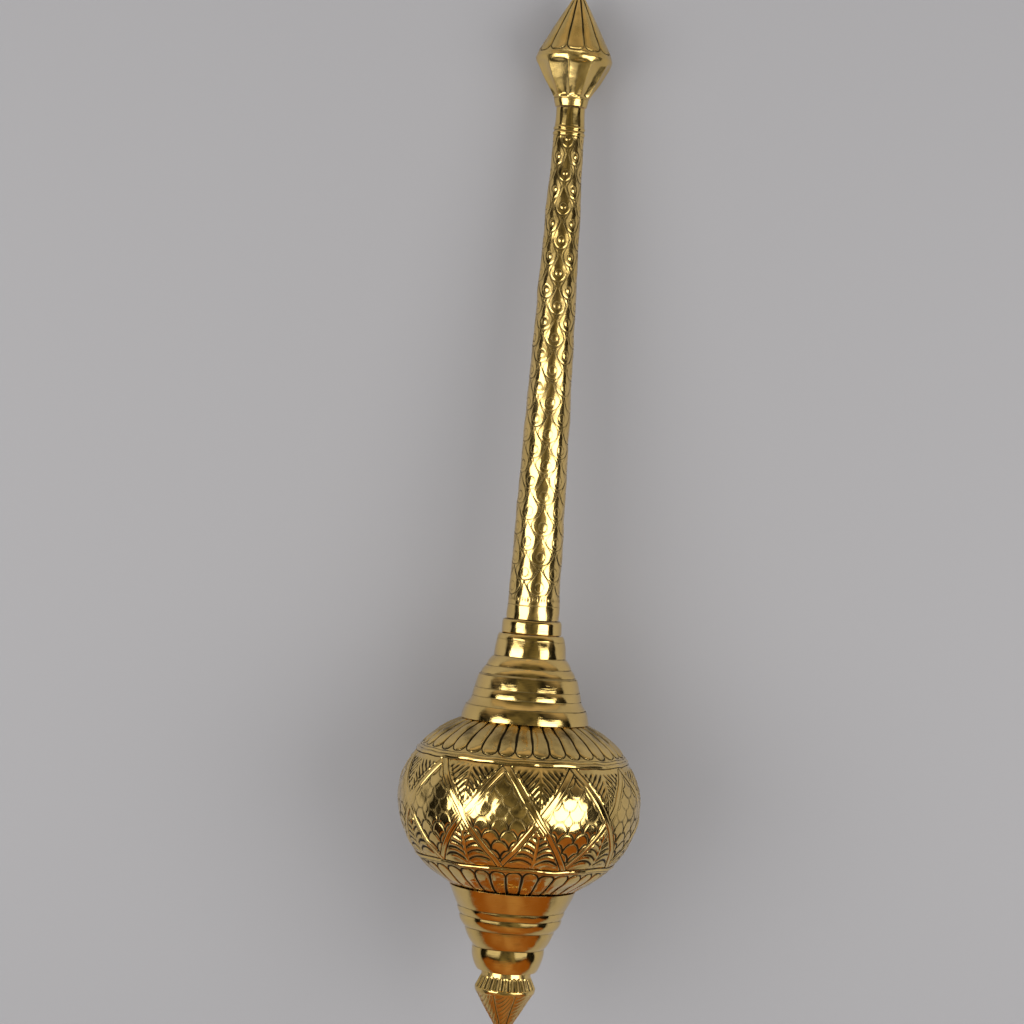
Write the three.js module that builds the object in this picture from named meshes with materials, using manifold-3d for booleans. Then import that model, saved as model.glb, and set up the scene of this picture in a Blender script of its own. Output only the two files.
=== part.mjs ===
// Ceremonial brass mace: a pommel finial, a tapering shaft, a ferrule, a stepped neck cone, a lobed head
// with two bands of petals, a second stepped cone and a tip finial, each a separate solid on one axis.
// Millimetres, +Z up. The mace lies on a floor at Z = 0 with its handle end towards +Y, and it rests on
// small flats under the head and under the pommel's rim.
import * as THREE from 'three';
import { mergeVertices } from 'three/addons/utils/BufferGeometryUtils.js';
import Module from 'manifold-3d';

// Places named AT are distances along the mace's axis from the point of the pommel.
const LENGTH = 940;
const SEAM_GAP = 0.3;

const POMMEL_RIM_AT = 64.3;
const POMMEL_RIM_RADIUS = 34.45;
const POMMEL_RIM_ROUND = 4.5;
const POMMEL_RIM_ROLL = 1.25;
const POMMEL_CONE_SWELL = 1.8;
const POMMEL_CONE_SECTIONS = 4;
const POMMEL_PETALS = 12;
const POMMEL_PETAL_DEPTH = 0.9;
const POMMEL_PETAL_FADE = 10;
const POMMEL_FLUTES = 10;
const POMMEL_FLUTE_DEPTH = 1.6;
const POMMEL_LIP_AT = 99.7;
const POMMEL_LIP_RADIUS = 15.9;
const POMMEL_LIP_WIDTH = 1.3;
const POMMEL_LIP_HEIGHT = 0.8;
const POMMEL_SOCKET_RADIUS = 13.8;
const POMMEL_COLUMNS_PER_PETAL = 5;

const SHAFT_FROM_AT = 107;
const SHAFT_TO_AT = 564.6;
const SHAFT_NECK_RADIUS = 13.1;
const SHAFT_FOOT_RADIUS = 23.7;
const SHAFT_SWELL = 3.6;
const SHAFT_BEADS_AT = [126, 130.5];
const SHAFT_BEAD_HEIGHT = 0.5;
const SHAFT_BEAD_HALF_WIDTH = 1.5;
const SHAFT_PLAIN_AFTER_BEADS = 30;
const SHAFT_SECTIONS = 6;
const SHAFT_COLUMNS = 28;

const FERRULE_TO_AT = 577.6;
const FERRULE_EDGE_RADIUS = 25.4;
const FERRULE_RADIUS = 26.9;
const FERRULE_SLOPE_LENGTH = 3;
const FERRULE_BEVEL = 1;
const FERRULE_COLUMNS = 32;

// Each spun ring of a cone: where it ends along the axis, its radius there and how far its middle swells.
const UPPER_CONE_START_RADIUS = 28.4;
const UPPER_CONE_RINGS = [
  [583, 30.4, 0.5],
  [598.2, 32.3, 0.4],
  [607.4, 38, 0.4],
  [614.4, 42.3, 0.3],
  [627.1, 46.9, 0.7],
  [634.9, 48.8, 0.5],
  [642.7, 53.8, -0.6],
  [655.2, 57, 0.8],
];
const LOWER_CONE_START_RADIUS = 56.6;
const LOWER_CONE_RINGS = [
  [822.2, 48, 0.5],
  [829.3, 45.4, 0.7],
  [840.5, 40.4, 1.7],
  [849, 37.2, 0.3],
  [857, 32.1, 0.4],
  [870, 30.7, 0.9],
  [878.4, 26.4, 0.5],
];

const CONE_COLUMNS = 40;

const HEAD_FROM_AT = 655.5;
const HEAD_TO_AT = 803.4;
const HEAD_WIDEST_AT = 726;
const HEAD_RADIUS = 109.75;
const HEAD_HANDLE_SIDE_HALF = 82;
const HEAD_TIP_SIDE_HALF = 90;
const HEAD_PETALS = 36;
const HEAD_PETAL_DEPTH = 1.4;
const HEAD_COLUMNS_PER_PETAL = 3;
// How far the head's outermost sections stand in from its two ends, and from the ridges beside them.
const HEAD_HANDLE_END_INSET = 2;
const HEAD_TIP_END_INSET = 1.5;
const HEAD_PETALS_TO_RIDGE = 2;
const HEAD_RIDGE_TO_FRIEZE = 10;
const HEAD_WIDEST_TO_FRIEZE = 13;
const HEAD_FRIEZE_TO_RIDGE = 8;
const HEAD_RIDGES_AT = [684.3, 778.6];
const HEAD_RIDGE_HEIGHT = 0.9;
const HEAD_RIDGE_HALF_WIDTH = 2.3;

const TIP_NECK_RADIUS = 22.3;
const TIP_NECK_TO_AT = 883;
const TIP_RIM_AT = 893.5;
const TIP_RIM_RADIUS = 27.3;
const TIP_RIM_WIDTH = 3.5;
const TIP_RIM_DROP = 0.4;
const TIP_RIM_TO_LEAVES = 8;
const TIP_FLUTES = 28;
const TIP_FLUTE_DEPTH = 1.1;
const POINT_LENGTH = 1.2;
const POINT_RADIUS = 1.1;

// A column this near an edge between repeats, as a share of a repeat, lies on it.
const EDGE_TOLERANCE = 0.01;
// A section this near the start of something is still clear of it.
const CLEARANCE = 1;

// How deep the resting flats are cut into the head and into the pommel's rim.
const HEAD_FLAT_DEPTH = 1.2;
const POMMEL_FLAT_DEPTH = 0.8;
const HEAD_SAMPLES = 200;

const BRASS = { color: 0xb8963f, roughness: 0.22, metalness: 1 };
const AGED_BRASS = { color: 0x9c8044, roughness: 0.34, metalness: 1 };

const wasm = await Module();
wasm.setup();

/** Evenly spaced numbers, both ends included. */
function spread(from, to, count) {
  return Array.from({ length: count }, (_, i) => THREE.MathUtils.lerp(from, to, i / (count - 1)));
}

/** A parabola that is 1 halfway between two ends and 0 at each. */
function swell(fraction) {
  return 4 * fraction * (1 - fraction);
}

/**
 * A solid turned about the Y axis from an outline of [at, radius] pairs. An end that isn't on the axis is
 * closed flat. carve(at, angle) says how deep the surface is cut there; angle 0 is the side that faces up.
 */
function turned(outline, columns, carve = () => 0, firstAngle = 0) {
  const points = outline.map(([at, radius]) => new THREE.Vector2(radius, at));
  if (points[0].x > 0) points.unshift(new THREE.Vector2(0, points[0].y));
  if (points.at(-1).x > 0) points.push(new THREE.Vector2(0, points.at(-1).y));
  const geometry = new THREE.LatheGeometry(points, columns, firstAngle);
  const position = geometry.attributes.position;
  for (let i = 0; i < position.count; i++) {
    const column = Math.floor(i / points.length) % columns;
    const angle = firstAngle + (column / columns) * 2 * Math.PI;
    const { x: radius, y: at } = points[i % points.length];
    const cut = radius > 0 ? 1 - carve(at, angle) / radius : 1;
    position.setX(i, position.getX(i) * cut);
    position.setZ(i, position.getZ(i) * cut);
  }
  return geometry;
}

/** How far an angle lies across its repeat, from 0 to 1, for count repeats with an edge at edgeAngle. */
function acrossRepeat(angle, count, edgeAngle) {
  return THREE.MathUtils.euclideanModulo(((angle - edgeAngle) * count) / (2 * Math.PI), 1);
}

/** 1 on the edges between repeats and 0 elsewhere. */
function onEdge(angle, count, edgeAngle) {
  const across = acrossRepeat(angle, count, edgeAngle);
  return Math.min(across, 1 - across) < EDGE_TOLERANCE ? 1 : 0;
}

/** The outline of a row of spun rings, each swelling between crisp edges. */
function ringOutline(startAt, startRadius, rings) {
  const outline = [[startAt, startRadius]];
  for (const [endAt, endRadius, crown] of rings) {
    const [fromAt, fromRadius] = outline.at(-1);
    outline.push([(fromAt + endAt) / 2, (fromRadius + endRadius) / 2 + crown]);
    outline.push([endAt, endRadius]);
  }
  return outline;
}

function solidOf(geometry) {
  const bare = geometry.clone();
  bare.deleteAttribute('normal');
  bare.deleteAttribute('uv');
  const merged = mergeVertices(bare);
  const triVerts = [];
  for (let i = 0; i < merged.index.count; i += 3) {
    const corners = [0, 1, 2].map((k) => merged.index.getX(i + k));
    if (new Set(corners).size === 3) triVerts.push(...corners);
  }
  return new wasm.Manifold(new wasm.Mesh({
    numProp: 3,
    vertProperties: new Float32Array(merged.attributes.position.array),
    triVerts: new Uint32Array(triVerts),
  }));
}

function geometryOf(solid) {
  const mesh = solid.getMesh();
  const geometry = new THREE.BufferGeometry();
  geometry.setAttribute('position', new THREE.BufferAttribute(mesh.vertProperties, 3));
  geometry.setIndex(new THREE.BufferAttribute(mesh.triVerts, 1));
  geometry.computeVertexNormals();
  return geometry;
}

function headRadius(at) {
  const half = at < HEAD_WIDEST_AT ? HEAD_HANDLE_SIDE_HALF : HEAD_TIP_SIDE_HALF;
  return HEAD_RADIUS * Math.sqrt(1 - ((at - HEAD_WIDEST_AT) / half) ** 2);
}

function pommelFinial() {
  const coneTo = POMMEL_RIM_AT - POMMEL_RIM_ROUND;
  const besideRimRadius = POMMEL_RIM_RADIUS - POMMEL_RIM_ROLL;
  const flutesFrom = POMMEL_RIM_AT + POMMEL_RIM_ROUND;
  const columns = POMMEL_PETALS * POMMEL_COLUMNS_PER_PETAL;
  const halfColumn = Math.PI / columns;
  const outline = [
    ...spread(POINT_LENGTH / coneTo, 1, POMMEL_CONE_SECTIONS).map((u) => [
      u * coneTo,
      u * besideRimRadius + POMMEL_CONE_SWELL * u * (1 - u),
    ]),
    [POMMEL_RIM_AT, POMMEL_RIM_RADIUS],
    ...spread(0, 1, 3).map((u) => [
      THREE.MathUtils.lerp(flutesFrom, POMMEL_LIP_AT, u),
      THREE.MathUtils.lerp(besideRimRadius, POMMEL_LIP_RADIUS, u),
    ]),
    [POMMEL_LIP_AT + POMMEL_LIP_WIDTH, POMMEL_LIP_RADIUS - POMMEL_LIP_HEIGHT],
    [SHAFT_FROM_AT, POMMEL_SOCKET_RADIUS],
  ];
  const petalEdge = Math.PI / POMMEL_PETALS;
  const fluteEdge = petalEdge - 2 * halfColumn;
  const carve = (at, angle) => {
    if (at < coneTo) {
      const fade = Math.min(1, at / POMMEL_PETAL_FADE);
      return POMMEL_PETAL_DEPTH * fade * onEdge(angle, POMMEL_PETALS, petalEdge);
    }
    if (at > flutesFrom && at < POMMEL_LIP_AT - CLEARANCE) {
      return POMMEL_FLUTE_DEPTH * swell(acrossRepeat(angle, POMMEL_FLUTES, fluteEdge));
    }
    return 0;
  };
  return cutByFloor(turned([[0, 0], ...outline], columns, carve, halfColumn));
}

function shaft() {
  const length = SHAFT_TO_AT - SHAFT_FROM_AT;
  const radiusAt = (at) => {
    const u = (at - SHAFT_FROM_AT) / length;
    return THREE.MathUtils.lerp(SHAFT_NECK_RADIUS, SHAFT_FOOT_RADIUS, u) + SHAFT_SWELL * u * (1 - u);
  };
  const beads = SHAFT_BEADS_AT.flatMap((at) => [
    [at - SHAFT_BEAD_HALF_WIDTH, radiusAt(at)],
    [at, radiusAt(at) + SHAFT_BEAD_HEIGHT],
    [at + SHAFT_BEAD_HALF_WIDTH, radiusAt(at)],
  ]);
  const taperFrom = SHAFT_BEADS_AT.at(-1) + SHAFT_PLAIN_AFTER_BEADS;
  const taper = spread(taperFrom, SHAFT_TO_AT, SHAFT_SECTIONS).map((at) => [at, radiusAt(at)]);
  return turned([[SHAFT_FROM_AT + SEAM_GAP, SHAFT_NECK_RADIUS], ...beads, ...taper], SHAFT_COLUMNS);
}

function shaftFerrule() {
  const from = SHAFT_TO_AT + SEAM_GAP;
  return turned([
    [from, FERRULE_EDGE_RADIUS],
    [from + FERRULE_SLOPE_LENGTH, FERRULE_RADIUS],
    [FERRULE_TO_AT - FERRULE_BEVEL, FERRULE_RADIUS],
    [FERRULE_TO_AT, FERRULE_RADIUS - FERRULE_BEVEL],
  ], FERRULE_COLUMNS);
}

function upperNeckCone() {
  const from = FERRULE_TO_AT + SEAM_GAP;
  return turned(ringOutline(from, UPPER_CONE_START_RADIUS, UPPER_CONE_RINGS), CONE_COLUMNS);
}

function lowerNeckCone() {
  const from = HEAD_TO_AT + SEAM_GAP;
  return turned(ringOutline(from, LOWER_CONE_START_RADIUS, LOWER_CONE_RINGS), CONE_COLUMNS);
}

function headBulb() {
  const [handleRidge, tipRidge] = HEAD_RIDGES_AT;
  const petalStart = HEAD_FROM_AT + HEAD_HANDLE_END_INSET;
  const petalEnd = HEAD_TO_AT - HEAD_TIP_END_INSET;
  const surface = (at) => [at, headRadius(at)];
  const ridge = (at) => [
    surface(at - HEAD_RIDGE_HALF_WIDTH),
    [at, headRadius(at) + HEAD_RIDGE_HEIGHT],
    surface(at + HEAD_RIDGE_HALF_WIDTH),
  ];
  const besideRidge = HEAD_RIDGE_HALF_WIDTH + HEAD_PETALS_TO_RIDGE;
  const outline = [
    surface(HEAD_FROM_AT),
    ...spread(petalStart, handleRidge - besideRidge, 3).map(surface),
    ...ridge(handleRidge),
    ...spread(handleRidge + HEAD_RIDGE_TO_FRIEZE, HEAD_WIDEST_AT, 3).map(surface),
    ...spread(HEAD_WIDEST_AT + HEAD_WIDEST_TO_FRIEZE, tipRidge - HEAD_FRIEZE_TO_RIDGE, 3).map(surface),
    ...ridge(tipRidge),
    ...spread(tipRidge + besideRidge, petalEnd, 3).map(surface),
    surface(HEAD_TO_AT),
  ];
  const petalEdge = Math.PI / HEAD_PETALS;
  const carve = (at, angle) => {
    const onPetals = at > HEAD_FROM_AT && at < handleRidge - HEAD_RIDGE_HALF_WIDTH - CLEARANCE;
    const onTipPetals = at > tipRidge + HEAD_RIDGE_HALF_WIDTH + CLEARANCE && at < HEAD_TO_AT;
    return onPetals || onTipPetals ? HEAD_PETAL_DEPTH * onEdge(angle, HEAD_PETALS, petalEdge) : 0;
  };
  return cutByFloor(turned(outline, HEAD_PETALS * HEAD_COLUMNS_PER_PETAL, carve, petalEdge));
}

function tipFinial() {
  const from = LOWER_CONE_RINGS.at(-1)[0] + SEAM_GAP;
  const rimTo = TIP_RIM_AT + TIP_RIM_WIDTH;
  const belowRimRadius = TIP_RIM_RADIUS - TIP_RIM_DROP;
  const leavesTo = LENGTH - POINT_LENGTH;
  const outline = [
    [from, TIP_NECK_RADIUS],
    [TIP_NECK_TO_AT, TIP_NECK_RADIUS],
    [(TIP_NECK_TO_AT + TIP_RIM_AT) / 2, (TIP_NECK_RADIUS + TIP_RIM_RADIUS) / 2],
    [TIP_RIM_AT, TIP_RIM_RADIUS],
    [rimTo, belowRimRadius],
    ...spread(rimTo + TIP_RIM_TO_LEAVES, leavesTo, 3).map((at) => [
      at,
      THREE.MathUtils.mapLinear(at, rimTo, leavesTo, belowRimRadius, POINT_RADIUS),
    ]),
  ];
  const edge = Math.PI / TIP_FLUTES;
  const carve = (at, angle) => (at < TIP_RIM_AT ? TIP_FLUTE_DEPTH * onEdge(angle, TIP_FLUTES, edge) : 0);
  return turned([...outline, [LENGTH, 0]], TIP_FLUTES * 2, carve, edge);
}

/** The mace's own axis, tilted so that the head and the pommel's rim both lie on the floor. */
function restingGroup() {
  const rimHeight = POMMEL_RIM_RADIUS - POMMEL_FLAT_DEPTH;
  const slopes = spread(HEAD_FROM_AT, HEAD_WIDEST_AT, HEAD_SAMPLES).map((at) => (
    (headRadius(at) - HEAD_FLAT_DEPTH - rimHeight) / (at - POMMEL_RIM_AT)
  ));
  const tilt = Math.atan(Math.max(...slopes));
  const group = new THREE.Group();
  group.rotation.set(-tilt, 0, Math.PI);
  group.position.set(
    0,
    (LENGTH / 2) * Math.cos(tilt),
    rimHeight * Math.cos(tilt) - POMMEL_RIM_AT * Math.sin(tilt),
  );
  group.updateMatrixWorld();
  return group;
}

const mace = restingGroup();

function cutByFloor(geometry) {
  const block = new THREE.BoxGeometry(LENGTH, 2 * LENGTH, LENGTH).translate(0, 0, -LENGTH / 2);
  block.applyMatrix4(mace.matrixWorld.clone().invert());
  return geometryOf(solidOf(geometry).subtract(solidOf(block)));
}

function addPiece(name, geometry, finish) {
  const piece = new THREE.Mesh(geometry, new THREE.MeshStandardMaterial(finish));
  piece.name = name;
  mace.add(piece);
}

addPiece('pommel_finial', pommelFinial(), BRASS);
addPiece('shaft', shaft(), BRASS);
addPiece('shaft_ferrule', shaftFerrule(), BRASS);
addPiece('upper_neck_cone', upperNeckCone(), BRASS);
addPiece('head_bulb', headBulb(), AGED_BRASS);
addPiece('lower_neck_cone', lowerNeckCone(), BRASS);
addPiece('tip_finial', tipFinial(), AGED_BRASS);

const group = new THREE.Group();
group.add(mace);

export default group;
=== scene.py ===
"""The finished surfaces of a ceremonial brass mace, modelled around its fixed frame.

Lengths are in metres in the scene and in millimetres in the shapes. A place called at is a distance along
the mace's own axis from the point of the pommel. An angle goes round that axis from the side that faces up.
"""
import math
from collections import namedtuple

import bpy
import numpy as np
from mathutils import Matrix, Vector


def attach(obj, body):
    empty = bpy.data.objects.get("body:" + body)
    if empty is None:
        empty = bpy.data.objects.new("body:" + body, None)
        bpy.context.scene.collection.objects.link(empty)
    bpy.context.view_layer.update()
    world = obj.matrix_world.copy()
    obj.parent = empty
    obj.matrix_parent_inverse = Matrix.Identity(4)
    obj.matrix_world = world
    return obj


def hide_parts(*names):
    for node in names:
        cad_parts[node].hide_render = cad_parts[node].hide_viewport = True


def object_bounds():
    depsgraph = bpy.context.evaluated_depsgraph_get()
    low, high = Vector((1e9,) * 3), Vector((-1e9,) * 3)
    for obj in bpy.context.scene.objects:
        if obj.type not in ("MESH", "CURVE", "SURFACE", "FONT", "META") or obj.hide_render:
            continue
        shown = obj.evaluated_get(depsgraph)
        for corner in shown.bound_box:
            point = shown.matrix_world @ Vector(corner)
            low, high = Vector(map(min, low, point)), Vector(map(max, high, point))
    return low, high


bl_info = {
    "name": "Ceremonial mace",
    "version": (1, 0, 0),
    "blender": (4, 5, 0),
    "location": "View3D > Sidebar > Mace",
    "description": "Models the chased and polished surfaces of a ceremonial brass mace",
    "category": "Object",
}

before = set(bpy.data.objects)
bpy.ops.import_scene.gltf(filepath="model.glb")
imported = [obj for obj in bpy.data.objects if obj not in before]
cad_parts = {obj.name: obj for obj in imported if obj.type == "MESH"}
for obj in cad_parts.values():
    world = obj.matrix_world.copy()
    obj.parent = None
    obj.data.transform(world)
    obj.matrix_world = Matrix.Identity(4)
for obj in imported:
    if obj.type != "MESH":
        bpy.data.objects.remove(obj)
CAD_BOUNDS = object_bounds()

MM = 0.001
TURN = 2 * math.pi
LENGTH = 940.0
POMMEL_RIM_AT = 64.3
POMMEL_RIM_RADIUS = 34.45
POMMEL_FLAT_DEPTH = 0.8
POMMEL_RIM_REST = POMMEL_RIM_RADIUS - POMMEL_FLAT_DEPTH
ON_AXIS = 1e-6
WELD_DISTANCE = 0.000004
SHARP_ANGLE = math.radians(70.0)
HAND_WAVES = 9
WANDER_SEEDS = (91, 92, 93)
WANDER_SPACING = 20.0
WANDER_FADE = 6.0


def resting_axes():
    """Where the pommel's point is, and the directions right, up and tipwards of the mace's own axis."""
    low, high = (Vector(corner) for corner in CAD_BOUNDS)
    tilt = math.acos(min(1.0, (high.y - low.y) / (LENGTH * MM)))
    height = (POMMEL_RIM_REST * math.cos(tilt) - POMMEL_RIM_AT * math.sin(tilt)) * MM
    origin = Vector((0.0, high.y, height))
    right = Vector((1.0, 0.0, 0.0))
    up = Vector((0.0, math.sin(tilt), math.cos(tilt)))
    tipwards = Vector((0.0, -math.cos(tilt), math.sin(tilt)))
    return origin, right, up, tipwards


ORIGIN, RIGHT, UP, TIPWARDS = resting_axes()
AXES = np.array([RIGHT, UP, TIPWARDS])


def on_axis(at, right=0.0, up=0.0):
    """A point of the scene, from millimetres along the axis, to its right and above it."""
    return ORIGIN + (TIPWARDS * at + RIGHT * right + UP * up) * MM


# ---- settings


def length(name, description, default):
    return bpy.props.FloatProperty(
        name=name, description=description, default=default * MM,
        unit="LENGTH", subtype="DISTANCE", precision=5,
    )


def count(name, description, default):
    return bpy.props.IntProperty(name=name, description=description, default=default, min=3)


def share(name, description, default, highest=1.0):
    return bpy.props.FloatProperty(name=name, description=description, default=default, min=0.0, max=highest)


def colour(name, description, default):
    return bpy.props.FloatVectorProperty(
        name=name, description=description, default=default, size=3, subtype="COLOR", min=0.0, max=1.0
    )


class MacePommelSettings(bpy.types.PropertyGroup):
    petals: count("Petals", "Engraved petals round the pommel's pointed side", 12)
    flutes: count("Flutes", "Hollow flutes round the pommel's shaft side", 10)
    rim_radius: length("Rim radius", "Radius of the rounded rim", 34.3)
    engraving: length("Engraving", "Depth of the lines round the petals", 0.7)
    flute_depth: length("Flute depth", "Depth of a flute at its widest", 2.2)


class MaceShaftSettings(bpy.types.PropertyGroup):
    neck_radius: length("Neck radius", "Radius of the shaft where it meets the pommel", 13.1)
    foot_radius: length("Foot radius", "Radius of the shaft where it meets the ferrule", 23.7)
    columns: count("Column pairs", "Pairs of scale columns round the shaft", 5)
    chasing: length("Chasing", "Depth of the grooves between the scales", 0.25)
    eye_radius: length("Eye radius", "Radius of the ringed eye on each scale", 3.9)


class MaceConeSettings(bpy.types.PropertyGroup):
    edge: length("Edge softness", "How far the edges of the spun rings are rounded", 0.32)
    unevenness: length("Unevenness", "Height of the slight waves left in the spun metal", 0.13)


class MaceHeadSettings(bpy.types.PropertyGroup):
    petals: count("Petals", "Petals in each band round the head", 36)
    diamonds: count("Diamonds", "Strapwork diamonds round the head", 10)
    strap_width: length("Strap width", "Width of a strap between its grooves", 4.1)
    relief: length("Relief", "Height of the straps above the ground of the frieze", 0.30)
    scale_pitch: length("Scale pitch", "Distance between neighbouring scales in a row", 15.5)
    scale_rows: length("Scale rows", "Distance between rows of scales", 9.8)


class MaceTipSettings(bpy.types.PropertyGroup):
    flutes: count("Flutes", "Fine flutes round the neck of the tip", 28)
    leaves: count("Leaves", "Leaf panels round the pointed end", 8)
    flute_depth: length("Flute depth", "Depth of a fine flute", 1.1)
    veins: length("Veins", "Depth of the veins of the leaves", 0.28)


class MaceFinishSettings(bpy.types.PropertyGroup):
    brass: colour("Brass", "Polished yellow brass", (0.84, 0.60, 0.22))
    deep_brass: colour("Deep brass", "Brass where the polish has dulled", (0.62, 0.42, 0.12))
    patina: colour("Patina", "Dark patina left in the grooves", (0.030, 0.021, 0.008))
    polish: share("Roughness", "Roughness of the polished brass", 0.075)
    dullness: share("Dullness", "Extra roughness where the patina sits", 0.35)


class MaceStageSettings(bpy.types.PropertyGroup):
    floor: colour("Floor", "Plain floor", (0.224, 0.22, 0.226))
    softboxes: share("Softboxes", "Brightness of the two side softboxes", 9.0, 50.0)
    warm_card: share("Warm card", "Brightness of the warm reflection beyond the tip", 0.30, 50.0)
    tan_glow: share("Tan glow", "Brightness of the tan reflection beyond the pommel", 0.5, 50.0)
    warm_colour: colour("Warm colour", "Colour of the warm reflection", (0.90, 0.30, 0.035))
    tan_colour: colour("Tan colour", "Colour of the tan reflection", (1.0, 0.84, 0.66))
    overhead: colour("Overhead", "Dark surroundings that the brass reflects", (0.086, 0.075, 0.044))
    camera_height: length("Camera height", "Distance of the camera from the mace's axis", 2410.0)


# ---- shapes

Rows = namedtuple("Rows", "at radius lean_at lean_radius arc")


def smooth(low, high, x):
    """0 below low and 1 above high, with an even slope between them."""
    share_of = np.clip((x - low) / (high - low), 0.0, 1.0)
    return share_of * share_of * (3.0 - 2.0 * share_of)


def hump(x, half):
    """1 where x is 0, falling smoothly to 0 at half on either side."""
    return (1.0 - np.clip(np.abs(x) / half, 0.0, 1.0) ** 2) ** 2


def nearest(x):
    """How far x is from the nearest whole number."""
    return x - np.round(x)


def rounded_rows(outline, rows, softness, bends=0.5):
    """Points along an outline of (at, radius) corners, rounded by softness and closer together at bends."""
    corners = np.array(outline, float)
    lengths = np.hypot(*np.diff(corners, axis=0).T)
    along = np.concatenate([[0.0], np.cumsum(lengths)])
    step = 0.05
    dense = np.arange(0.0, along[-1] + step / 2, step)
    curve = np.array([np.interp(dense, along, corners[:, k]) for k in (0, 1)])
    reach = max(1, int(round(3.0 * softness / step)))
    weights = np.exp(-0.5 * (np.arange(-reach, reach + 1) * step / softness) ** 2)
    weights /= weights.sum()
    for k in (0, 1):
        before = 2 * curve[k][0] - curve[k][reach:0:-1]
        after = 2 * curve[k][-1] - curve[k][-2:-reach - 2:-1]
        curve[k] = np.convolve(np.concatenate([before, curve[k], after]), weights, "valid")
    slope = np.gradient(curve, axis=1)
    heading = np.unwrap(np.arctan2(slope[1], slope[0]))
    arc = np.concatenate([[0.0], np.cumsum(np.hypot(*np.diff(curve, axis=1)))])
    bend = np.concatenate([[0.0], np.cumsum(np.abs(np.diff(heading)))])
    spread = (1.0 - bends) * arc / arc[-1] + bends * bend / max(bend[-1], 1e-9)
    picks = np.interp(np.linspace(0.0, spread[-1], rows), spread, np.arange(len(arc)))
    pick = lambda values: np.interp(picks, np.arange(len(arc)), values)
    return Rows(pick(curve[0]), pick(curve[1]), -np.sin(pick(heading)), np.cos(pick(heading)), pick(arc))


def corner_inside(beside, below, radius):
    """How far inside a shape a point is, near a rounded corner, by its distances to the two sides."""
    in_corner = (beside < radius) & (below < radius)
    rounded = radius - np.hypot(radius - beside, radius - below)
    return np.where(in_corner, rounded, np.minimum(beside, below))


def turned_sector(rows, angles, relief, closed=(True, True)):
    """The vertices, faces and grooves of one repeat of a turned surface, closed to the axis if asked."""
    column = Rows(*(values[:, None] for values in rows))
    shape = (len(rows.at), len(angles))
    height, groove = (np.broadcast_to(values, shape) for values in relief(column, angles[None, :]))
    at = column.at + height * column.lean_at
    radius = np.maximum(column.radius + height * column.lean_radius, 0.0)
    for end, close in zip((0, -1), closed):
        if close and rows.radius[end] > ON_AXIS:
            pole = (at[end].mean(), 0.0, groove[end])
            beyond = 0 if end == 0 else len(at)
            at, radius, groove = (
                np.insert(values, beyond, value, axis=0) for values, value in zip((at, radius, groove), pole)
            )
    points = np.stack([radius * np.sin(angles), radius * np.cos(angles), at], axis=2).reshape(-1, 3)
    row_count, width = at.shape
    i, j = np.meshgrid(np.arange(row_count - 1), np.arange(width - 1), indexing="ij")
    corner = (i * width + j).ravel()
    faces = np.stack([corner, corner + width, corner + width + 1, corner + 1], axis=1)
    return points, faces.tolist(), groove.ravel()


def repeat_angles(repeats, columns, first=0.0):
    return first + np.linspace(0.0, TURN / repeats, columns + 1)


def ring_outline(start, rings):
    """A row of spun rings, each swelling between crisp edges."""
    outline = [start]
    for end_at, end_radius, crown in rings:
        from_at, from_radius = outline[-1]
        for u in np.linspace(0.125, 1.0, 8):
            at = from_at + (end_at - from_at) * u
            outline.append((at, from_radius + (end_radius - from_radius) * u + 4.0 * crown * u * (1.0 - u)))
    return outline


# ---- nodes


def linked(tree, kind, inputs=(), **facts):
    """A node with its facts set and its inputs given as values or as sockets to link from."""
    made = tree.nodes.new(kind)
    for fact, value in facts.items():
        setattr(made, fact, value)
    for key, value in dict(inputs).items():
        if isinstance(value, bpy.types.NodeSocket):
            tree.links.new(value, made.inputs[key])
        else:
            made.inputs[key].default_value = value
    return made


def maths(tree, operation, first, second=0.0, clamp=False):
    inputs = {0: first, 1: second}
    return linked(tree, "ShaderNodeMath", inputs, operation=operation, use_clamp=clamp).outputs[0]


def times(tree, first, second):
    return maths(tree, "MULTIPLY", first, second)


def map_range(tree, value, low, high, to_low=0.0, to_high=1.0, soft=False):
    """A value carried from one range to another and held at its ends, with soft ends if asked."""
    inputs = {0: value, 1: low, 2: high, 3: to_low, 4: to_high}
    kind = "SMOOTHSTEP" if soft else "LINEAR"
    return linked(tree, "ShaderNodeMapRange", inputs, interpolation_type=kind).outputs[0]


def noise_of(tree, place, scale, detail):
    inputs = {"Vector": place, "Scale": scale, "Detail": detail}
    return linked(tree, "ShaderNodeTexNoise", inputs).outputs["Fac"]


def scaled(tree, colour_of, factor):
    inputs = {0: colour_of, "Scale": factor}
    return linked(tree, "ShaderNodeVectorMath", inputs, operation="SCALE").outputs[0]


def blend_colour(tree, share_of, first, second):
    node = linked(tree, "ShaderNodeMix", {0: share_of, 6: first, 7: second}, data_type="RGBA")
    return node.outputs[2]


def opaque(rgb):
    return (*rgb, 1.0)


# ---- rings of repeats


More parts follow.
